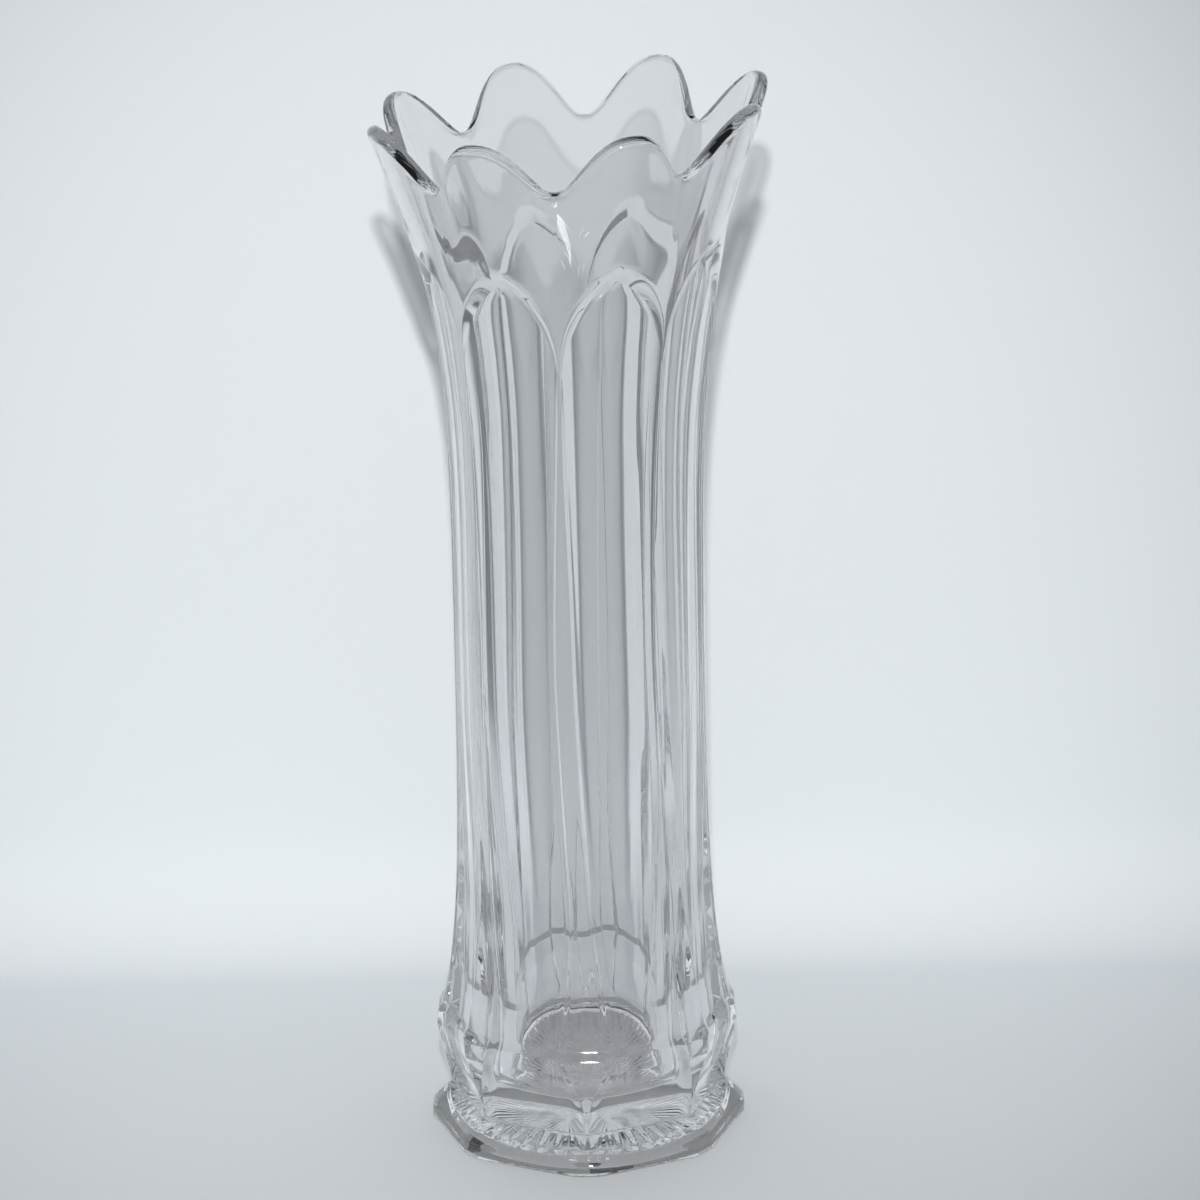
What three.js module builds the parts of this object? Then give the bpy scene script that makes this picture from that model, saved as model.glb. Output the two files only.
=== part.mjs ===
// Pressed glass vase with eight flat panels, arched panel heads and a rim of eight petals.
// The vase is one piece of glass, so the model is one closed solid.
// Units are millimetres, +Z is up, the foot rests on z = 0 and -Y is the front.
import * as THREE from 'three';

const { lerp, smoothstep, degToRad } = THREE.MathUtils;

// Panels and star rays
const panelCount = 8;
const raysPerPanel = 6;

// Foot, an octagon with its corners cut off
const footCornerRadius = 47.5;
const footCornerWidth = 6;
const footEdgeHeight = 3.8;
const footEdgeRounding = 0.7;
const footShoulderInset = 3.1;
const footShoulderRise = 2.8;

// Underside: a flat resting ring round a recessed star
const restingRingWidth = 8;
const recessSlopeWidth = 2;
const recessDepth = 1.6;
const starBorderWidth = 1;
const starEyeRadius = 20;
const starCrown = 1.4;
const starGrooveDepth = 0.9;

// Body and its ribs, with the front and back panels a little wider than the side ones
const bodyRadius = 37;
const ribWidth = 4.4;
const ribTopWidth = 0.8;
const ribTaperLength = 93;
const panelLength = 163.5;
const panelUnevenness = degToRad(2.7);

// Heel: a belly with a small ledge, where the body spreads above the foot and ribs open into kites
const flareSpread = 6.4;
const flareLength = 25;
const ledgeWidth = 1.4;
const ledgeRise = 2.6;
const bellyWidth = 0.5;
const bellyDrop = 5;
const heelRise = 17;
const heelCornerWidth = 10.9;
const kiteLength = 41.4;

// Cove under the heel and the waist above the foot
const coveUndercut = 1.7;
const coveRise = 8;
const coveCornerWidth = 1.4;
const waistUndercut = 1.7;
const waistRise = 4.2;

// Panel arches
const archRise = 27;
const archPoint = 0.25;
const archBlendHeight = 6;
const archBlendPower = 1.5;

// Flaring neck
const neckLength = 27.9;
const neckFlare = 13.9;
const neckFlareLength = 148;
const neckFlareSharpness = 3.5;

// Petals of the rim
const petalRise = 15.55;
const petalRoundness = 1.18;
const petalSwell = 1.75;
const petalSwellLength = 43;
const lipThickness = 4;
const rimOvalness = 0.024;

// Inside of the vase
const floorThickness = 19;
const floorRounding = 6;
const baseWall = 11;
const bodyWall = 6;
const wallTaperStart = 40;
const wallTaperLength = 100;
const wallThinningLength = 57;

// Marks of swinging the hot glass: a twist, partly undone in the neck, and one side drawn longer
const footTurn = degToRad(-0.8);
const twistAngle = degToRad(-6.4);
const twistStart = 45;
const twistLength = 120;
const neckUntwist = degToRad(1.9);
const untwistLength = 110;
const stretchPerMillimetre = 0.00019;

// Mesh columns: two to a star ray, which gives each panel one for its rib and the rest across
const columnsPerRay = 2;
const columnsPerPanel = raysPerPanel * columnsPerRay;
const panelSteps = columnsPerPanel - 2;
const columnCount = panelCount * columnsPerPanel;
const sectorAngle = (2 * Math.PI) / panelCount;

// Heights, each stacked on the one below
const footShoulderHeight = footEdgeHeight + footShoulderRise;
const waistHeight = footShoulderHeight + waistRise;
const coveTopHeight = waistHeight + coveRise;
const heelHeight = coveTopHeight + heelRise;
const ledgeTopHeight = heelHeight + ledgeRise;
const kiteApexHeight = ledgeTopHeight + kiteLength;
const archSpringHeight = kiteApexHeight + panelLength;
const archPeakHeight = archSpringHeight + archRise;
const rimValleyHeight = archPeakHeight + neckLength;
const floorTopHeight = floorThickness + floorRounding;

// Distances from the axis
const restingRingInnerRadius = footCornerRadius - restingRingWidth;
const recessRadius = restingRingInnerRadius - recessSlopeWidth;
const starRadius = recessRadius - starBorderWidth;
const footShoulderRadius = footCornerRadius - footShoulderInset;
const heelRadius = bodyRadius + flareSpread + ledgeWidth;
const coveTopRadius = heelRadius - coveUndercut;
const waistRadius = coveTopRadius - waistUndercut;
const cavityRadius = bodyRadius - baseWall;

// A column is a rib centre (panelPosition null) or a point across a panel, 0 to 1
function columnOf(index) {
  const sector = Math.floor(index / columnsPerPanel);
  const step = index % columnsPerPanel;
  const panelPosition = step === 0 ? null : (step - 1) / panelSteps;
  const fromPanelMiddle = panelPosition === null ? 1 : Math.abs(2 * panelPosition - 1);
  return { index, sector, panelPosition, fromPanelMiddle };
}

// Point of an octagon whose corners are cut off by rib facets, as angle, radius and height
function facetedPoint(column, ribDistance, facetWidth, height) {
  const facetPoint = (sector, side) => {
    const angle = sector * sectorAngle;
    const along = (side * facetWidth) / 2;
    return new THREE.Vector2(
      ribDistance * Math.sin(angle) + along * Math.cos(angle),
      -ribDistance * Math.cos(angle) + along * Math.sin(angle),
    );
  };
  const point = column.panelPosition === null
    ? facetPoint(column.sector, 0)
    : facetPoint(column.sector, 1).lerp(facetPoint(column.sector + 1, -1), column.panelPosition);
  return { angle: Math.atan2(point.x, -point.y), radius: point.length(), height };
}

// Distance from the axis to the middle of a rib, without the heel: straight, then flaring
function shaftDistanceAt(height) {
  const upFlare = Math.max(1 - (rimValleyHeight - height) / neckFlareLength, 0);
  return bodyRadius + neckFlare * upFlare ** neckFlareSharpness;
}

// The same with the spread towards the heel, which dies away up the body
function ribDistanceAt(height) {
  const aboveLedge = Math.max(height - ledgeTopHeight, 0) / flareLength;
  return shaftDistanceAt(height) + flareSpread * Math.exp(-aboveLedge);
}

// Width of a rib facet: a kite above the heel, then a narrow rib that tapers to the arches
function ribWidthAt(height) {
  if (height < kiteApexHeight) {
    return lerp(ribWidth, heelCornerWidth, (kiteApexHeight - height) / kiteLength);
  }
  const taper = smoothstep(height, archSpringHeight - ribTaperLength, archSpringHeight);
  return lerp(ribWidth, ribTopWidth, taper);
}

// Glass thickness between the round inside and a rib: thick at the base, thinner in body and lip
function wallAt(height) {
  const thinning = smoothstep(height, archPeakHeight - wallThinningLength, archPeakHeight);
  const taper = smoothstep(height, wallTaperStart, wallTaperStart + wallTaperLength);
  return lerp(lerp(baseWall, bodyWall, taper), lipThickness, thinning);
}

// Height of the pointed arch that heads each panel
function archHeightAt(column) {
  const across = column.fromPanelMiddle;
  const round = 1 - Math.sqrt(Math.max(1 - across ** 2, 0));
  return archPeakHeight - archRise * lerp(round, across, archPoint);
}

// Height of the widest line of the lip: petals over the panels, valleys over the ribs
function rimHeightAt(column) {
  const petal = (1 + Math.cos(Math.PI * column.fromPanelMiddle ** petalRoundness)) / 2;
  return rimValleyHeight + petalRise * petal - lipThickness / 2;
}

// Section of the panelled body
function panelledPoint(column, height) {
  return facetedPoint(column, ribDistanceAt(height), ribWidthAt(height), height);
}

// Section of the round neck, swelling out at the petals and in at the valleys
function neckPoint(column, height) {
  const { angle } = panelledPoint(column, Math.min(height, archPeakHeight));
  const fade = smoothstep(height, rimValleyHeight - petalSwellLength, rimValleyHeight);
  const swell = petalSwell * fade * Math.cos(Math.PI * column.fromPanelMiddle);
  return { angle, radius: ribDistanceAt(height) + swell, height };
}

// Outward normal of the neck in the plane through the axis: across, then up
function neckNormal(column, height) {
  const halfStep = 0.5;
  const above = neckPoint(column, height + halfStep).radius;
  const below = neckPoint(column, height - halfStep).radius;
  return new THREE.Vector2(2 * halfStep, below - above).normalize();
}

// Point moved from the neck's outside by a distance inwards and a distance along the wall
function neckOffset(column, height, inwards, upwards) {
  const { angle, radius } = neckPoint(column, height);
  const normal = neckNormal(column, height);
  return {
    angle,
    radius: radius - inwards * normal.x - upwards * normal.y,
    height: height - inwards * normal.y + upwards * normal.x,
  };
}

function insidePoint(column, height) {
  return neckOffset(column, height, wallAt(height), 0);
}

// Underside: an eye, a crowned star of V grooves, a border, the recess edge and the resting ring
function starPoint(column, radius, crown, groove) {
  const acrossRay = (column.index % columnsPerRay) / columnsPerRay;
  const cut = 1 - Math.abs(2 * acrossRay - 1);
  const height = recessDepth + starCrown * crown + starGrooveDepth * groove * cut;
  return { angle: column.index * (sectorAngle / columnsPerPanel), radius, height };
}

function makeUndersideRows() {
  const grooveStart = lerp(starEyeRadius, starRadius, 0.3);
  const grooveEnd = lerp(starEyeRadius, starRadius, 0.85);
  return [
    (column) => starPoint(column, starEyeRadius, 1, 0),
    (column) => starPoint(column, grooveStart, 0.9, 1),
    (column) => starPoint(column, grooveEnd, 0.3, 1),
    (column) => starPoint(column, starRadius, 0, 0),
    (column) => starPoint(column, recessRadius, 0, 0),
    (column) => ({ ...starPoint(column, restingRingInnerRadius, 0, 0), height: 0 }),
  ];
}

// Foot, waist, cove and belly, each row an octagon at its own distance, corner width and height
function makeFootRows() {
  const roundedRadius = footCornerRadius - footEdgeRounding;
  const coveMiddleRadius = lerp(waistRadius, coveTopRadius, 0.3);
  const coveMiddleHeight = lerp(waistHeight, coveTopHeight, 0.5);
  const bellyCornerWidth = lerp(heelCornerWidth, coveCornerWidth, bellyDrop / heelRise);
  return [
    [roundedRadius, footCornerWidth, 0],
    [footCornerRadius, footCornerWidth, footEdgeRounding],
    [footCornerRadius, footCornerWidth, footEdgeHeight - footEdgeRounding],
    [roundedRadius, footCornerWidth, footEdgeHeight],
    [footShoulderRadius, footCornerWidth, footShoulderHeight],
    [waistRadius, coveCornerWidth, waistHeight],
    [coveMiddleRadius, coveCornerWidth, coveMiddleHeight],
    [coveTopRadius, coveCornerWidth, coveTopHeight],
    [heelRadius + bellyWidth, bellyCornerWidth, heelHeight - bellyDrop],
    [heelRadius, heelCornerWidth, heelHeight],
  ].map(([distance, width, height]) => (column) => facetedPoint(column, distance, width, height));
}

// Body from the ledge up to the arches, with rows closer together where the outline bends
function makeBodyRows() {
  const kiteShares = [0, 0.1, 0.22, 0.38, 0.6, 0.8, 1];
  const bodyShares = [0.12, 0.3, 0.5, 0.65, 0.8, 0.92];
  return [
    ...kiteShares.map((share) => lerp(ledgeTopHeight, kiteApexHeight, share)),
    ...bodyShares.map((share) => lerp(kiteApexHeight, archSpringHeight, share)),
  ].map((height) => (column) => panelledPoint(column, height));
}

// Panel surface that blends out to the round neck over a short height above its arch
function blendedPoint(column, share) {
  const height = archHeightAt(column) + archBlendHeight * share;
  const panel = panelledPoint(column, height);
  const blend = 1 - (1 - share) ** archBlendPower;
  return { ...panel, radius: lerp(panel.radius, neckPoint(column, height).radius, blend) };
}

// The neck above the blend, which rises evenly to the petals
const neckSteps = 6;
function neckHeightAt(column, share) {
  return lerp(archHeightAt(column) + archBlendHeight, rimHeightAt(column), share);
}

function makeNeckRows() {
  const blendSteps = 4;
  const rows = [];
  for (let step = 0; step < blendSteps; step += 1) {
    rows.push((column) => blendedPoint(column, step / blendSteps));
  }
  for (let step = 0; step <= neckSteps; step += 1) {
    rows.push((column) => neckPoint(column, neckHeightAt(column, step / neckSteps)));
  }
  return rows;
}

// A half circle over the rim joins outside and inside
function makeLipRows() {
  const lipSteps = 4;
  const lipRadius = lipThickness / 2;
  const rows = [];
  for (let step = 1; step < lipSteps; step += 1) {
    const turn = (Math.PI * step) / lipSteps;
    const inwards = lipRadius * (1 - Math.cos(turn));
    const upwards = lipRadius * Math.sin(turn);
    rows.push((column) => neckOffset(column, rimHeightAt(column), inwards, upwards));
  }
  return rows;
}

// Inside of the neck, the round cavity and a quarter circle in to the flat floor
function makeInsideRows() {
  const rows = [];
  for (let step = neckSteps; step >= 0; step -= 1) {
    rows.push((column) => insidePoint(column, neckHeightAt(column, step / neckSteps)));
  }
  [0.75, 0.5, 0.25, 0].forEach((share) => {
    rows.push((column) => insidePoint(column, lerp(archSpringHeight, neckHeightAt(column, 0), share)));
  });
  const cavityShares = [0.95, 0.87, 0.76, 0.53, 0.41, 0.3, 0.18, 0.07, 0];
  cavityShares.forEach((share) => {
    const height = lerp(floorTopHeight, archSpringHeight, share);
    rows.push((column) => ({
      angle: panelledPoint(column, height).angle,
      radius: shaftDistanceAt(height) - wallAt(height),
      height,
    }));
  });
  const floorSteps = 4;
  for (let step = 1; step <= floorSteps; step += 1) {
    const turn = (step / floorSteps) * (Math.PI / 2);
    rows.push((column) => ({
      angle: panelledPoint(column, heelHeight).angle,
      radius: cavityRadius - floorRounding * (1 - Math.cos(turn)),
      height: floorTopHeight - floorRounding * Math.sin(turn),
    }));
  }
  return rows;
}

// Turn, twist, widen and stretch a point of the straight vase into the swung one
function swungPosition({ angle, radius, height }) {
  const unevenness = panelUnevenness * (1 - smoothstep(height, kiteApexHeight, archSpringHeight));
  const twist = twistAngle * smoothstep(height, twistStart, twistStart + twistLength);
  const untwist = neckUntwist * smoothstep(height, rimValleyHeight - untwistLength, rimValleyHeight);
  const turned = angle + unevenness * Math.sin(2 * angle) + footTurn + twist + untwist;
  const widening = 1 + rimOvalness * smoothstep(height, archSpringHeight, rimValleyHeight);
  const x = radius * Math.sin(turned) * widening;
  const y = -radius * Math.cos(turned);
  return [x, y, height * (1 + stretchPerMillimetre * x)];
}

// Join the rows into one skin from the underside's middle, over the rim, to the middle of the floor
function makeVaseGeometry() {
  const rows = [
    ...makeUndersideRows(),
    ...makeFootRows(),
    ...makeBodyRows(),
    ...makeNeckRows(),
    ...makeLipRows(),
    ...makeInsideRows(),
  ];
  const columns = Array.from({ length: columnCount }, (_, index) => columnOf(index));
  const positions = rows.flatMap((row) => columns.flatMap((column) => swungPosition(row(column))));
  const undersideCentre = rows.length * columnCount;
  const floorCentre = undersideCentre + 1;
  positions.push(0, 0, recessDepth + starCrown);
  positions.push(0, 0, floorThickness);

  const triangles = [];
  columns.forEach(({ index }) => {
    const next = (index + 1) % columnCount;
    triangles.push(undersideCentre, next, index);
    for (let row = 0; row < rows.length - 1; row += 1) {
      const lower = row * columnCount;
      const upper = lower + columnCount;
      triangles.push(lower + index, lower + next, upper + next);
      triangles.push(lower + index, upper + next, upper + index);
    }
    const last = (rows.length - 1) * columnCount;
    triangles.push(floorCentre, last + index, last + next);
  });
  const geometry = new THREE.BufferGeometry();
  geometry.setAttribute('position', new THREE.Float32BufferAttribute(positions, 3));
  geometry.setIndex(triangles);
  geometry.computeVertexNormals();
  return geometry;
}

const clearGlass = new THREE.MeshStandardMaterial({ color: 0xdfe6e8, roughness: 0.03, metalness: 0 });

const vase = new THREE.Mesh(makeVaseGeometry(), clearGlass);
vase.name = 'vase_body';

const object = new THREE.Group();
object.add(vase);

export default object;
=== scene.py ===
import bpy
import numpy as np
from mathutils import Matrix, Vector


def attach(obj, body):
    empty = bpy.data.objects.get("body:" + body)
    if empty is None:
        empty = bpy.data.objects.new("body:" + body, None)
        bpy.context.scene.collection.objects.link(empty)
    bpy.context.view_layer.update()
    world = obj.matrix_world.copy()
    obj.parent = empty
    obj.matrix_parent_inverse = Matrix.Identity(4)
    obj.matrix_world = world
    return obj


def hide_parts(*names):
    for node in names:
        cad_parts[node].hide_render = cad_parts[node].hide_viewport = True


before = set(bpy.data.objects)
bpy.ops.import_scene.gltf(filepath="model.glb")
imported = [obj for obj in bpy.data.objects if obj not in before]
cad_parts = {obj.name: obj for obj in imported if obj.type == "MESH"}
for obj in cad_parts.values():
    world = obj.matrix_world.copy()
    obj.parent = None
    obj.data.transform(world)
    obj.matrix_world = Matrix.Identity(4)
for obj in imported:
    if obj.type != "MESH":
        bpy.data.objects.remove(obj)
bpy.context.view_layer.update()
mm = 0.001


class Socket:
    # A shader socket whose arithmetic adds Math nodes
    def __init__(self, tree, socket):
        self.tree = tree
        self.socket = socket

    def math(self, operation, other=0.0):
        node = self.tree.nodes.new("ShaderNodeMath")
        node.operation = operation
        for place, value in enumerate((self, other)):
            if isinstance(value, Socket):
                self.tree.links.new(value.socket, node.inputs[place])
            else:
                node.inputs[place].default_value = value
        return Socket(self.tree, node.outputs[0])

    def __add__(self, other):
        return self.math("ADD", other)

    __radd__ = __add__

    def __mul__(self, other):
        return self.math("MULTIPLY", other)

    __rmul__ = __mul__


class Nodes:
    # The nodes of a material or world, added one call at a time
    def __init__(self, owner):
        owner.use_nodes = True
        self.tree = owner.node_tree
        self.tree.nodes.clear()

    def add(self, kind, settings=None, output=0, **values):
        node = self.tree.nodes.new(kind)
        for name, value in (settings or {}).items():
            setattr(node, name, value)
        for name, value in values.items():
            # An input goes by its name, or by its place where names repeat: i0, i1, i2
            place = int(name[1:]) if name[1:].isdigit() else name.replace("_", " ")
            if isinstance(value, Socket):
                self.tree.links.new(value.socket, node.inputs[place])
            else:
                node.inputs[place].default_value = value
        return Socket(self.tree, node.outputs[output]) if node.outputs else node

    def read(self, kind, outputName):
        node = self.tree.nodes.new(kind)
        return Socket(self.tree, node.outputs[outputName])


# 0 below low, 1 above high, and 3 t squared less 2 t cubed between them
def smoothStep(x, low, high):
    t = np.clip((x - low) / (high - low), 0, 1)
    return t * t * (3 - 2 * t)


# A straight line from a to b
def mix(a, b, share):
    return a + (b - a) * share


# The vase, sizes in millimetres and turns in degrees: one skin of rows and columns over underside,
# foot, body, neck, lip and inside
vase = dict(
    panels=8,
    ribColumns=6,
    panelColumns=30,
    edgeSoftness=0.13,
    cornerSoftness=0.38,
    footEdgeSoftness=0.9,
    footEdgeReach=1.8,
    outlineStep=0.05,
    outlineTaps=60,
    kiteSamples=200,
    bodySamples=500,
    rowSpacing=4.0,
    rowsAtCorner=4.5,
    cornerReach=0.75,
    rowsAboveLedge=0.35,
    aboveLedgeReach=14,
    footCornerRadius=47.5,
    footCornerWidth=6,
    footEdgeHeight=3.8,
    footShoulderInset=3.1,
    footShoulderRise=2.8,
    restingRingWidth=8,
    recessSlopeWidth=1.2,
    recessSlopeFlat=0.3,
    recessSlopeRows=8,
    recessDepth=1.6,
    starRays=48,
    starBorderWidth=0.4,
    starEyeRadius=3,
    starCrown=1.4,
    starGrooveDepth=0.38,
    starInnerDepth=0.1,
    starRayEnd=0.06,
    starRows=24,
    bodyRadius=37,
    ribWidth=4.4,
    ribTopWidth=0.8,
    ribTaperLength=93,
    panelStep=0.45,
    panelStepWidth=0.75,
    kiteStep=1.5,
    kiteFlank=2.6,
    kiteFlankTop=66,
    panelLength=163.5,
    unevenness=2.7,
    flareSpread=6.4,
    flareLength=25,
    ledgeWidth=1.4,
    ledgeRise=2.6,
    bellyWidth=0.5,
    bellyDrop=5,
    heelRise=17,
    heelCornerWidth=10.9,
    kiteLength=41.4,
    coveUndercut=1.7,
    coveRise=8,
    coveCornerWidth=1.4,
    waistUndercut=1.7,
    waistRise=4.2,
    archRise=27,
    archPoint=0.25,
    archStepHeight=6,
    archStepPower=1.5,
    archPanelRows=18,
    archStepRows=14,
    neckLength=27.9,
    neckRows=26,
    neckFlare=13.9,
    neckFlareLength=148,
    neckFlareSharpness=3.5,
    petalRise=15.4,
    petalRoundness=1.18,
    petalSwell=1.55,
    petalSwellLength=43,
    lipThickness=4,
    lipRows=14,
    floorThickness=19,
    floorRounding=6,
    floorRoundingRows=18,
    floorRings=(1, 0.75, 0.5, 0.25, 0.1),
    baseWall=11,
    bodyWall=6,
    wallTaperStart=40,
    wallTaperLength=100,
    wallThinningLength=57,
    insideNeckRows=13,
    cavityRows=47,
    rippleDepth=0.02,
    rippleFadeLength=40,
    ripples=((29, 1, 1), (43, 0.8, 4), (61, 0.6, 2)),
    turn=-0.8,
    twist=-6.4,
    twistStart=45,
    twistLength=120,
    untwist=1.9,
    untwistLength=110,
    leanPerMillimetre=0.00019,
    ovalness=0.024,
)


def makeVase(v):
    sector = 2 * np.pi / v["panels"]
    shoulderHeight = v["footEdgeHeight"] + v["footShoulderRise"]
    waistHeight = shoulderHeight + v["waistRise"]
    coveTopHeight = waistHeight + v["coveRise"]
    heelHeight = coveTopHeight + v["heelRise"]
    ledgeTopHeight = heelHeight + v["ledgeRise"]
    kiteApexHeight = ledgeTopHeight + v["kiteLength"]
    archSpringHeight = kiteApexHeight + v["panelLength"]
    archPeakHeight = archSpringHeight + v["archRise"]
    rimValleyHeight = archPeakHeight + v["neckLength"]
    floorTopHeight = v["floorThickness"] + v["floorRounding"]
    ledgeTopRadius = v["bodyRadius"] + v["flareSpread"]
    heelRadius = ledgeTopRadius + v["ledgeWidth"]
    coveTopRadius = heelRadius - v["coveUndercut"]
    waistRadius = coveTopRadius - v["waistUndercut"]
    shoulderRadius = v["footCornerRadius"] - v["footShoulderInset"]
    ringInner = v["footCornerRadius"] - v["restingRingWidth"]
    recessRadius = ringInner - v["recessSlopeWidth"]
    starRadius = recessRadius - v["starBorderWidth"]

    # Columns: across each rib, then across the panel beside it, closer together at the edges
    ribPlace = -np.cos(np.pi * np.arange(v["ribColumns"]) / v["ribColumns"])
    panelPlace = 0.5 - 0.5 * np.cos(np.pi * np.arange(v["panelColumns"]) / v["panelColumns"])
    perSector = v["ribColumns"] + v["panelColumns"]
    isRib = np.tile(np.arange(perSector) < v["ribColumns"], v["panels"])
    place = np.tile(np.concatenate([ribPlace, panelPlace]), v["panels"])
    ribAngle = sector * np.repeat(np.arange(v["panels"]), perSector)
    columns = len(place)
    evenAngle = sector / perSector * (np.arange(columns) - v["ribColumns"] / 2)
    fromMiddle = np.where(isRib, 1, np.abs(2 * place - 1))

    # Angle of a column on the sharp octagon with cut corners: a point across a rib, or between two ribs
    def columnAngle(distance, width):
        def corner(angle, side):
            return (distance * np.sin(angle) + side * width / 2 * np.cos(angle),
                    -distance * np.cos(angle) + side * width / 2 * np.sin(angle))
        ribX, ribY = corner(ribAngle, np.where(isRib, place, 1))
        nextX, nextY = corner(ribAngle + sector, -1)
        share = np.where(isRib, 0, place)
        x, y = mix(ribX, nextX, share), mix(ribY, nextY, share)
        turn = np.arctan2(x, -y)
        return turn + 2 * np.pi * np.round((evenAngle - turn) / (2 * np.pi))

    # Radius of the octagon with cut corners, its sides blended by a soft minimum
    def facetedRadius(angle, distance, width):
        fold = np.abs((angle + sector / 2) % sector - sector / 2)
        half = sector / 2
        panelDistance = distance * np.cos(half) + width / 2 * np.sin(half)
        sides = np.stack([distance / np.cos(fold), panelDistance / np.cos(half - fold),
                          panelDistance / np.cos(half + fold)])
        least = sides.min(axis=0)
        soft = v["edgeSoftness"]
        return least - soft * np.log(np.exp((least - sides) / soft).sum(axis=0))

    # Panels lie a little below the ribs and kites: a step of its own depth over a short width
    def stepAt(distance, width, z):
        panelWidth = 2 * distance * np.sin(sector / 2) - width
        fromEdge = panelWidth * np.minimum(place, 1 - place)
        shown = smoothStep(z, waistHeight, coveTopHeight) * (
            1 - smoothStep(z, archSpringHeight - v["ribTaperLength"] / 2, archPeakHeight))
        low = np.clip((v["kiteFlankTop"] - z) / (v["kiteFlankTop"] - ledgeTopHeight), 0, 1)
        share = np.clip(fromEdge / mix(v["panelStepWidth"], v["kiteFlank"], low), 0, 1)
        depth = mix(v["panelStep"], v["kiteStep"], low) * shown
        return np.where(isRib, 0, depth * mix(smoothStep(share, 0, 1), share, low))

    # Straight shaft whose distance from the axis grows as a power of the height in the neck
    def shaftDistance(z):
        upFlare = np.maximum(1 - (rimValleyHeight - z) / v["neckFlareLength"], 0)
        return v["bodyRadius"] + v["neckFlare"] * upFlare ** v["neckFlareSharpness"]

    # The shaft and a heel that falls in to it exponentially above the ledge
    def ribDistance(z):
        aboveLedge = np.maximum(z - ledgeTopHeight, 0) / v["flareLength"]
        return shaftDistance(z) + v["flareSpread"] * np.exp(-aboveLedge)

    # Width of a rib: it narrows up the kite in a straight line, then smoothly to the arches
    def ribWidth(z):
        kite = mix(v["ribWidth"], v["heelCornerWidth"], (kiteApexHeight - z) / v["kiteLength"])
        taper = smoothStep(z, archSpringHeight - v["ribTaperLength"], archSpringHeight)
        return np.where(z < kiteApexHeight, kite, mix(v["ribWidth"], v["ribTopWidth"], taper))

    # Thickness of the wall, which thins smoothly above the base and again towards the lip
    def wall(z):
        thinning = smoothStep(z, archPeakHeight - v["wallThinningLength"], archPeakHeight)
        taper = smoothStep(z, v["wallTaperStart"], v["wallTaperStart"] + v["wallTaperLength"])
        return mix(mix(v["baseWall"], v["bodyWall"], taper), v["lipThickness"], thinning)

    # Each arch mixes a quarter of an ellipse with a straight slope, and each petal is a raised cosine
    archRound = 1 - np.sqrt(np.maximum(1 - fromMiddle ** 2, 0))
    archLow = archPeakHeight - v["archRise"] * mix(archRound, fromMiddle, v["archPoint"])
    archHigh = archLow + v["archStepHeight"]
    petal = (1 + np.cos(np.pi * fromMiddle ** v["petalRoundness"])) / 2
    rimHeight = rimValleyHeight + v["petalRise"] * petal - v["lipThickness"] / 2

    # The round neck swells out at the petals and in at the valleys
    def neckRadius(z):
        fade = smoothStep(z, rimValleyHeight - v["petalSwellLength"], rimValleyHeight)
        return ribDistance(z) + v["petalSwell"] * fade * np.cos(np.pi * fromMiddle)

    # A point on the neck, moved square to its skin by inwards and along it by upwards
    def neckPoint(z, inwards=0.0, upwards=0.0):
        step = 0.5
        slope = (neckRadius(z + step) - neckRadius(z - step)) / (2 * step)
        across = 1 / np.sqrt(1 + slope ** 2)
        up = -slope * across
        angle = columnAngle(ribDistance(np.minimum(z, archPeakHeight)),
                            ribWidth(np.minimum(z, archPeakHeight)))
        radius = neckRadius(z) - inwards * across - upwards * up
        return angle, radius, z - inwards * up + upwards * across

    rows = []

    def addRow(angle, radius, z):
        rows.append(np.stack([np.broadcast_to(part, columns) for part in (angle, radius, z)]))

    # Underside: a crowned star of V grooves inside a border and a slope down to the resting ring
    acrossRay = (evenAngle * v["starRays"] / (2 * np.pi)) % 1
    cut = 1 - np.abs(2 * acrossRay - 1)
    for share in np.linspace(0, 1, v["starRows"] + 1):
        radius = mix(v["starEyeRadius"], starRadius, share)
        depth = min(mix(v["starInnerDepth"], 1, share), (1 - share) / v["starRayEnd"])
        groove = v["starGrooveDepth"] * cut * depth
        addRow(evenAngle, radius, v["recessDepth"] + v["starCrown"] * (1 - share ** 2) + groove)
    for share in np.linspace(0, 1, v["recessSlopeRows"] + 1)[1:]:
        z = v["recessDepth"] * (1 - smoothStep(share, v["recessSlopeFlat"], 1))
        addRow(evenAngle, mix(starRadius, ringInner, share), z)

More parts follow.
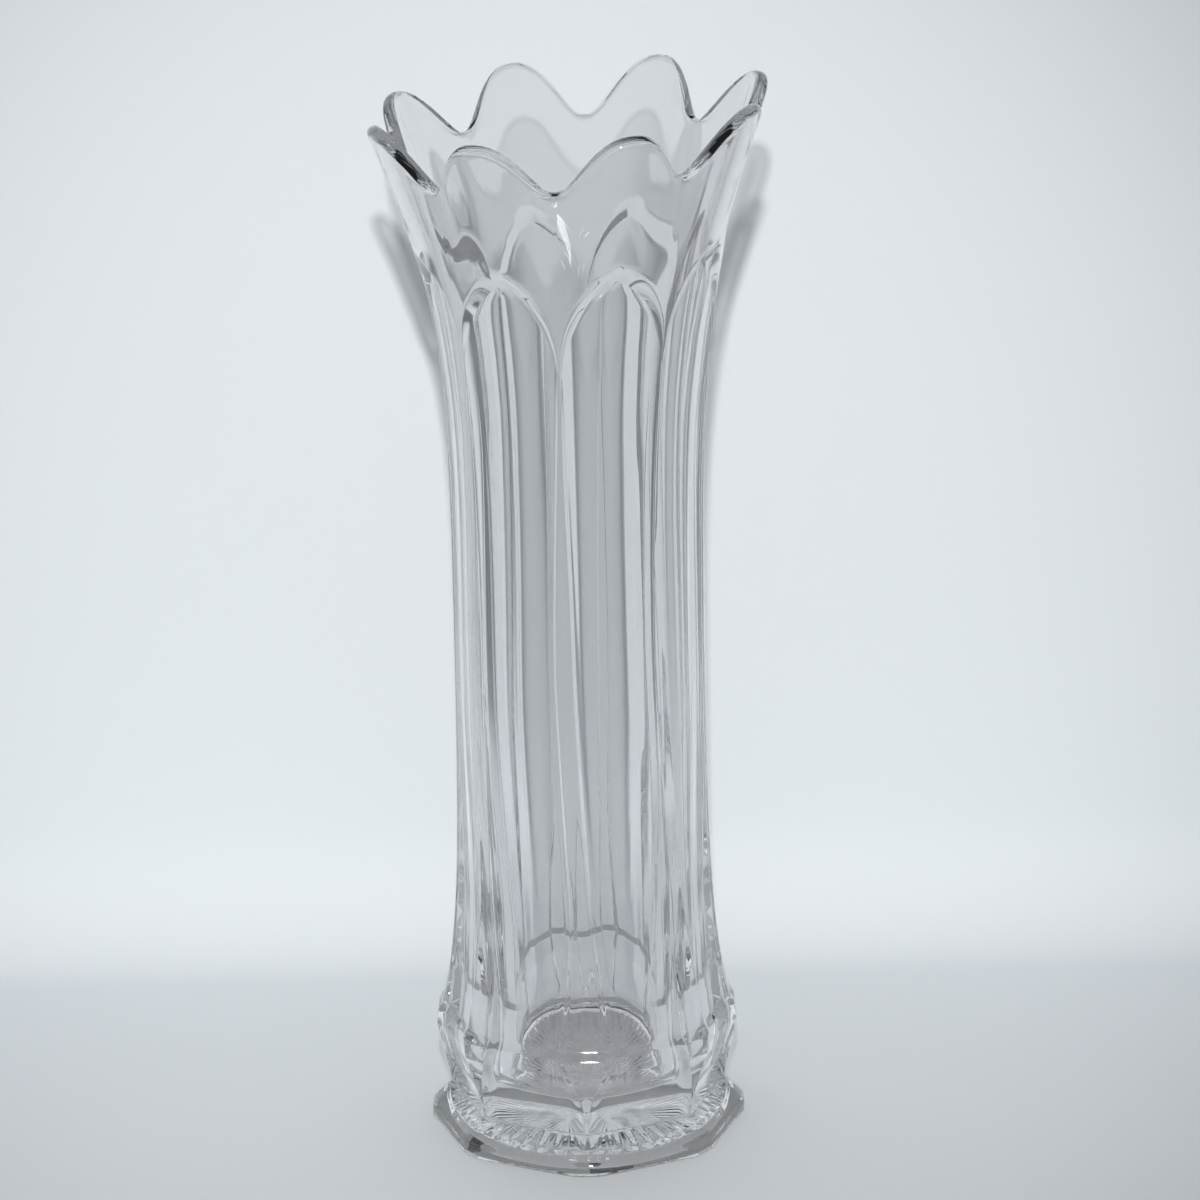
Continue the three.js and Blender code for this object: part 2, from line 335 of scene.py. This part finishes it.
    # Outline from the resting ring up the foot, waist and heel to the straight body.
    # Each point has a distance, a height, a rib width and a share of roundness.
    lastFlat = archSpringHeight - v["archRise"]
    kite = np.linspace(ledgeTopHeight, kiteApexHeight, v["kiteSamples"])[1:]
    body = np.linspace(kiteApexHeight, lastFlat, v["bodySamples"])[1:]
    bellyCornerWidth = mix(v["heelCornerWidth"], v["coveCornerWidth"], v["bellyDrop"] / v["heelRise"])
    corners = np.array([
        [ringInner, 0, v["footCornerWidth"], 1],
        [v["footCornerRadius"], 0, v["footCornerWidth"], 0],
        [v["footCornerRadius"], v["footEdgeHeight"], v["footCornerWidth"], 0],
        [shoulderRadius, shoulderHeight, v["footCornerWidth"], 0],
        [waistRadius, waistHeight, v["coveCornerWidth"], 0],
        [coveTopRadius, coveTopHeight, v["coveCornerWidth"], 0],
        [heelRadius + v["bellyWidth"], heelHeight - v["bellyDrop"], bellyCornerWidth, 0],
        [heelRadius, heelHeight, v["heelCornerWidth"], 0],
    ])
    above = np.concatenate([kite, body])
    outline = np.concatenate([corners, np.stack(
        [ribDistance(above), above, ribWidth(above), 0 * above], axis=1)])
    lengths = np.concatenate([[0], np.cumsum(np.hypot(*np.diff(outline[:, :2], axis=0).T))])
    fine = np.arange(0, lengths[-1], v["outlineStep"])
    sampled = np.stack([np.interp(fine, lengths, outline[:, k]) for k in range(4)])
    taps = np.arange(-v["outlineTaps"], v["outlineTaps"] + 1)
    ends = (v["outlineTaps"], v["outlineTaps"])
    padded = np.pad(sampled, ((0, 0), ends), mode="reflect", reflect_type="odd")

    # The outline averaged over a bell curve of the given width
    def soften(softness):
        weights = np.exp(-0.5 * (taps * v["outlineStep"] / softness) ** 2)
        return np.stack([np.convolve(line, weights / weights.sum(), mode="valid") for line in padded])

    onFootEdge = np.exp(-((fine - lengths[2]) / v["footEdgeReach"]) ** 4)
    softened = mix(soften(v["cornerSoftness"]), soften(v["footEdgeSoftness"]), onFootEdge)

    # Rows crowd together at the corners of the outline, and a little above the ledge
    crowding = np.full(len(fine), 1 / v["rowSpacing"])
    for corner in lengths[1:9]:
        crowding += v["rowsAtCorner"] * np.exp(-((fine - corner) / v["cornerReach"]) ** 2)
    crowding += v["rowsAboveLedge"] * np.exp(-((fine - lengths[8]) / v["aboveLedgeReach"]) ** 2)
    rowPlace = np.concatenate([[0], np.cumsum(crowding[1:] * v["outlineStep"])])
    rowAt = np.interp(np.linspace(0, rowPlace[-1], int(rowPlace[-1]) + 1), rowPlace, fine)
    for distance, z, width, roundness in np.stack(
            [np.interp(rowAt, fine, line) for line in softened], axis=1)[1:]:
        angle = columnAngle(distance, width)
        radius = mix(facetedRadius(angle, distance, width), distance, roundness)
        radius = radius - stepAt(distance, width, z)
        addRow(mix(angle, evenAngle, roundness), radius, z)

    # Panels up to their arches, then the step out to the round neck
    for share in np.linspace(0, 1, v["archPanelRows"] + 1)[1:]:
        z = mix(lastFlat, archLow, share)
        angle = columnAngle(ribDistance(z), ribWidth(z))
        panel = facetedRadius(angle, ribDistance(z), ribWidth(z))
        addRow(angle, panel - stepAt(ribDistance(z), ribWidth(z), z), z)
    for share in np.linspace(0, 1, v["archStepRows"] + 1)[1:]:
        z = mix(archLow, archHigh, share)
        angle = columnAngle(ribDistance(z), ribWidth(z))
        panel = facetedRadius(angle, ribDistance(z), ribWidth(z))
        panel = panel - stepAt(ribDistance(z), ribWidth(z), z)
        addRow(angle, mix(panel, neckRadius(z), 1 - (1 - share) ** v["archStepPower"]), z)
    neckShares = np.linspace(0, 1, v["neckRows"] + 1)
    for share in neckShares[1:]:
        addRow(*neckPoint(mix(archHigh, rimHeight, share)))

    # A half circle over the lip, then the inside of the neck
    lipRadius = v["lipThickness"] / 2
    for arc in np.linspace(0, np.pi, v["lipRows"] + 1)[1:-1]:
        addRow(*neckPoint(rimHeight, lipRadius * (1 - np.cos(arc)), lipRadius * np.sin(arc)))
    for share in neckShares[::-1]:
        z = mix(archHigh, rimHeight, share)
        addRow(*neckPoint(z, wall(z)))
    for share in np.linspace(1, 0, v["insideNeckRows"] + 1)[1:]:
        z = mix(archSpringHeight, archHigh, share)
        addRow(*neckPoint(z, wall(z)))

    # Round cavity with faint upright ripples, then a quarter circle in to the flat floor
    ripple = v["rippleDepth"] * sum(
        size * np.sin(waves * evenAngle + start) for waves, size, start in v["ripples"])
    for share in np.linspace(1, 0, v["cavityRows"] + 1)[1:]:
        z = mix(floorTopHeight, archSpringHeight, share)
        shown = smoothStep(z, floorTopHeight, kiteApexHeight) * (
            1 - smoothStep(z, archSpringHeight - v["rippleFadeLength"], archSpringHeight))
        cavity = shaftDistance(z) - wall(z) + shown * ripple
        addRow(columnAngle(ribDistance(z), ribWidth(z)), cavity, z)
    cavityRadius = v["bodyRadius"] - v["baseWall"]
    floorAngle = columnAngle(v["bodyRadius"], v["ribWidth"])
    for arc in np.linspace(0, np.pi / 2, v["floorRoundingRows"] + 1)[1:-1]:
        addRow(floorAngle, cavityRadius - v["floorRounding"] * (1 - np.cos(arc)),
               floorTopHeight - v["floorRounding"] * np.sin(arc))
    for share in v["floorRings"]:
        addRow(floorAngle, share * (cavityRadius - v["floorRounding"]), v["floorThickness"])

    # Front and back panels a little wider than the side ones, then the twist, the oval and the
    # lean of the swung shape, then the rows are joined, with a pole at each end
    angle, radius, z = np.stack(rows, axis=1)
    angle = angle + np.radians(v["unevenness"]) * np.sin(2 * angle) * (
        1 - smoothStep(z, kiteApexHeight, archSpringHeight))
    angle = angle + np.radians(
        v["turn"] + v["twist"] * smoothStep(z, v["twistStart"], v["twistStart"] + v["twistLength"])
        + v["untwist"] * smoothStep(z, rimValleyHeight - v["untwistLength"], rimValleyHeight))
    x, y = radius * np.sin(angle), -radius * np.cos(angle)
    x = x * (1 + v["ovalness"] * smoothStep(z, archSpringHeight, rimValleyHeight))
    z = z * (1 + v["leanPerMillimetre"] * x)
    poles = [[0, 0, v["recessDepth"] + v["starCrown"]], [0, 0, v["floorThickness"]]]
    points = np.concatenate([np.stack([x, y, z], axis=-1).reshape(-1, 3), poles])
    return makeSkin("glass_vase", points * mm, len(rows), columns)


# Faces of a closed skin: quads between rows, triangles at the two poles that follow the rows
def makeSkin(name, points, rowCount, columns):
    here = np.arange(columns)
    after = (here + 1) % columns
    lower = columns * np.arange(rowCount - 1)[:, None]
    quads = np.stack([lower + here, lower + after, lower + columns + after,
                      lower + columns + here], axis=-1).reshape(-1, 4)
    last = columns * (rowCount - 1)
    firstPole, lastPole = rowCount * columns, rowCount * columns + 1
    fans = np.concatenate([
        np.stack([np.full(columns, firstPole), after, here], axis=-1),
        np.stack([np.full(columns, lastPole), last + here, last + after], axis=-1)])
    mesh = bpy.data.meshes.new(name)
    mesh.vertices.add(len(points))
    mesh.vertices.foreach_set("co", points.astype(np.float32).ravel())
    corners = np.concatenate([quads.ravel(), fans.ravel()]).astype(np.int32)
    sizes = np.concatenate([np.full(len(quads), 4), np.full(len(fans), 3)]).astype(np.int32)
    starts = np.concatenate([[0], np.cumsum(sizes)[:-1]]).astype(np.int32)
    mesh.loops.add(len(corners))
    mesh.loops.foreach_set("vertex_index", corners)
    mesh.polygons.add(len(sizes))
    mesh.polygons.foreach_set("loop_start", starts)
    mesh.update(calc_edges=True)
    mesh.validate()
    mesh.shade_smooth()
    piece = bpy.data.objects.new(name, mesh)
    bpy.context.scene.collection.objects.link(piece)
    return piece


# Clear glass. Lamps shine through it, dimmed more where they meet it edge on, above the base and
# under the foot's rim. The shade values are shares of the light, and the heights are in metres.
glass = dict(
    ior=1.51,
    roughness=0.0,
    tint=(0.915, 0.91, 0.92, 1),
    shadeFace=0.09,
    shadeEdge=0.7,
    shadeMiddle=0.1,
    shadeRim=0.6,
    rimLow=0.036,
    rimHigh=0.042,
    shadeLow=0.014,
    shadeHigh=0.075,
)


def makeGlass(g):
    material = bpy.data.materials.new("clear_glass")
    m = Nodes(material)
    body = m.add("ShaderNodeBsdfPrincipled", Base_Color=g["tint"], Roughness=g["roughness"],
                 IOR=g["ior"], Transmission_Weight=1.0)
    facing = m.read("ShaderNodeLayerWeight", "Facing")
    place = m.read("ShaderNodeTexCoord", "Object")
    across, along, height = (m.add("ShaderNodeSeparateXYZ", output=k, Vector=place) for k in range(3))
    fromAxis = (across * across + along * along).math("SQRT")
    smooth = {"interpolation_type": "SMOOTHSTEP"}
    foot = m.add("ShaderNodeMapRange", smooth, Value=fromAxis, From_Min=g["rimLow"],
                 From_Max=g["rimHigh"], To_Min=g["shadeMiddle"], To_Max=g["shadeRim"])
    rise = m.add("ShaderNodeMapRange", smooth, Value=height, From_Min=g["shadeLow"],
                 From_Max=g["shadeHigh"], To_Min=foot, To_Max=1.0)
    shade = rise * (g["shadeFace"] + facing * facing * (g["shadeEdge"] - g["shadeFace"]))
    clear = m.add("ShaderNodeBsdfTransparent", Color=(1, 1, 1, 1))
    dark = m.add("ShaderNodeBsdfTransparent", Color=(0, 0, 0, 1))
    letThrough = m.add("ShaderNodeMixShader", i0=shade, i1=clear, i2=dark)
    shadow = m.read("ShaderNodeLightPath", "Is Shadow Ray")
    surface = m.add("ShaderNodeMixShader", i0=shadow, i1=body, i2=letThrough)
    m.add("ShaderNodeOutputMaterial", Surface=surface)
    return material


vasePiece = makeVase(vase)
vasePiece.data.materials.append(makeGlass(glass))
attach(vasePiece, "root")
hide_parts("vase_body")
print("vase made,", sum(len(face.vertices) - 2 for face in vasePiece.data.polygons), "triangles")


# Pale cloth: flat under the vase, then a curve up into the backdrop, millimetres. Its back is unseen,
# so that the vase shows from behind as well
cloth = dict(
    front=-700,
    bend=100,
    bendRadius=40,
    top=1400,
    lean=0.12,
    halfWidth=1300,
    flatRows=19,
    bendRows=24,
    riseRows=29,
    columns=40,
    colour=(0.80, 0.84, 0.86, 1),
    roughness=0.9,
)


# A flat run, a quarter circle and a leaning straight rise, all carried sideways
def makeCloth(c):
    arc = np.linspace(0, np.pi / 2, c["bendRows"] + 1)
    flat = np.linspace(c["front"], c["bend"], c["flatRows"] + 1)[:-1]
    rise = np.linspace(c["bendRadius"], c["top"], c["riseRows"] + 1)[1:]
    y = np.concatenate([flat, c["bend"] + c["bendRadius"] * np.sin(arc),
                        c["bend"] + c["bendRadius"] + c["lean"] * (rise - c["bendRadius"])])
    z = np.concatenate([0 * flat, c["bendRadius"] * (1 - np.cos(arc)), rise])
    x = np.linspace(-c["halfWidth"], c["halfWidth"], c["columns"] + 1)
    gridX, gridY = np.meshgrid(x, y)
    points = np.stack([gridX, gridY, np.broadcast_to(z[:, None], gridX.shape)], axis=-1)
    rowCount, columns = gridX.shape
    lower = columns * np.arange(rowCount - 1)[:, None] + np.arange(columns - 1)
    quads = np.stack([lower, lower + 1, lower + columns + 1, lower + columns], axis=-1)
    mesh = bpy.data.meshes.new("cloth")
    mesh.from_pydata((points * mm).reshape(-1, 3).tolist(), [], quads.reshape(-1, 4).tolist())
    mesh.shade_smooth()
    sheet = bpy.data.objects.new("cloth", mesh)
    bpy.context.scene.collection.objects.link(sheet)
    material = bpy.data.materials.new("pale_cloth")
    m = Nodes(material)
    weave = m.add("ShaderNodeBsdfPrincipled", Base_Color=c["colour"], Roughness=c["roughness"])
    unseen = m.add("ShaderNodeBsdfTransparent", Color=(1, 1, 1, 1))
    atCamera = m.read("ShaderNodeLightPath", "Is Camera Ray")
    fromBehind = m.read("ShaderNodeNewGeometry", "Backfacing") * atCamera
    surface = m.add("ShaderNodeMixShader", i0=fromBehind, i1=weave, i2=unseen)
    m.add("ShaderNodeOutputMaterial", Surface=surface)
    mesh.materials.append(material)
    return sheet


makeCloth(cloth)
print("cloth made")


# Lamps in metres, watts and degrees: a small flash above the lens that shows in no reflection, a
# rounder one that shows only in the glass, for its sparkles, and a broad soft light overhead
lamps = dict(
    flash=dict(kind="SPOT", place=(-0.005, -1.25, 0.8), aim=(-0.02, 0, 0.19), radius=0.015, power=71,
               beam=33, colour=(1, 1, 1), mirrored=False, onlyMirrored=False),
    sparkle=dict(kind="SPOT", place=(-0.005, -1.2, 0.42), aim=(-0.02, 0, 0.19), radius=0.05, power=50,
                 beam=60, colour=(1, 1, 1), mirrored=True, onlyMirrored=True),
    overhead=dict(kind="AREA", place=(0, -0.1, 1.6), aim=(0, 0.05, 0.1), radius=0.6, power=2.4,
                  beam=180, colour=(1, 0.95, 1), mirrored=False, onlyMirrored=False),
)


# Each lamp points from its place to its aim
def makeLamp(name, l):
    light = bpy.data.lights.new(name, l["kind"])
    if l["kind"] == "SPOT":
        light.shadow_soft_size = l["radius"]
        light.spot_size = np.radians(l["beam"])
        light.spot_blend = 1
    else:
        light.shape = "DISK"
        light.size = 2 * l["radius"]
    light.energy = l["power"]
    light.color = l["colour"]
    lamp = bpy.data.objects.new(name, light)
    lamp.location = l["place"]
    aim = Vector(l["aim"]) - Vector(l["place"])
    lamp.rotation_euler = aim.to_track_quat("-Z", "Y").to_euler()
    lamp.visible_glossy = lamp.visible_transmission = l["mirrored"]
    lamp.visible_diffuse = not l["onlyMirrored"]
    bpy.context.scene.collection.objects.link(lamp)


for name, values in lamps.items():
    makeLamp(name, values)

# Dim room light, which the glass shows brighter than it shines on the cloth
room = dict(colour=(0.9, 0.95, 1, 1), strength=0.17, strengthInGlass=0.32)


def makeRoom(r):
    world = bpy.data.worlds.new("room")
    bpy.context.scene.world = world
    w = Nodes(world)
    inGlass = w.read("ShaderNodeLightPath", "Is Glossy Ray").math(
        "MAXIMUM", w.read("ShaderNodeLightPath", "Is Transmission Ray"))
    strength = r["strength"] + inGlass * (r["strengthInGlass"] - r["strength"])
    light = w.add("ShaderNodeBackground", Color=r["colour"], Strength=strength)
    w.add("ShaderNodeOutputWorld", Surface=light)


makeRoom(room)
print("lamps and room made")


# Camera of the photograph: place, lens and sensor in millimetres, angles in degrees, reach in metres
camera = dict(place=(0, -1250, 593.67), pitchDown=18.965, yaw=0.286, roll=-1.03, lens=135,
              sensor=36, nearest=0.01, farthest=20)


# The view turns by yaw and pitch, then rolls round its own axis
def makeCamera(c):
    pitch, yaw, roll = (np.radians(c[name]) for name in ("pitchDown", "yaw", "roll"))
    forward = np.array([np.sin(yaw) * np.cos(pitch), np.cos(yaw) * np.cos(pitch), -np.sin(pitch)])
    right = np.array([np.cos(yaw), -np.sin(yaw), 0])
    up = np.cross(right, forward)
    rolledRight = np.cos(roll) * right + np.sin(roll) * up
    rolledUp = np.cos(roll) * up - np.sin(roll) * right
    data = bpy.data.cameras.new("camera")
    data.lens = c["lens"]
    data.sensor_width = c["sensor"]
    data.clip_start, data.clip_end = c["nearest"], c["farthest"]
    view = bpy.data.objects.new("camera", data)
    turned = Matrix([rolledRight, rolledUp, -forward]).transposed().to_4x4()
    view.matrix_world = Matrix.Translation(Vector(c["place"]) * mm) @ turned
    bpy.context.scene.collection.objects.link(view)
    bpy.context.scene.camera = view


makeCamera(camera)

scene = bpy.context.scene
scene.view_settings.view_transform = "Standard"
scene.cycles.max_bounces = 40
scene.cycles.transmission_bounces = 40
scene.cycles.glossy_bounces = 20
scene.cycles.transparent_max_bounces = 24
scene.cycles.diffuse_bounces = 3
scene.cycles.caustics_refractive = False
scene.cycles.caustics_reflective = False
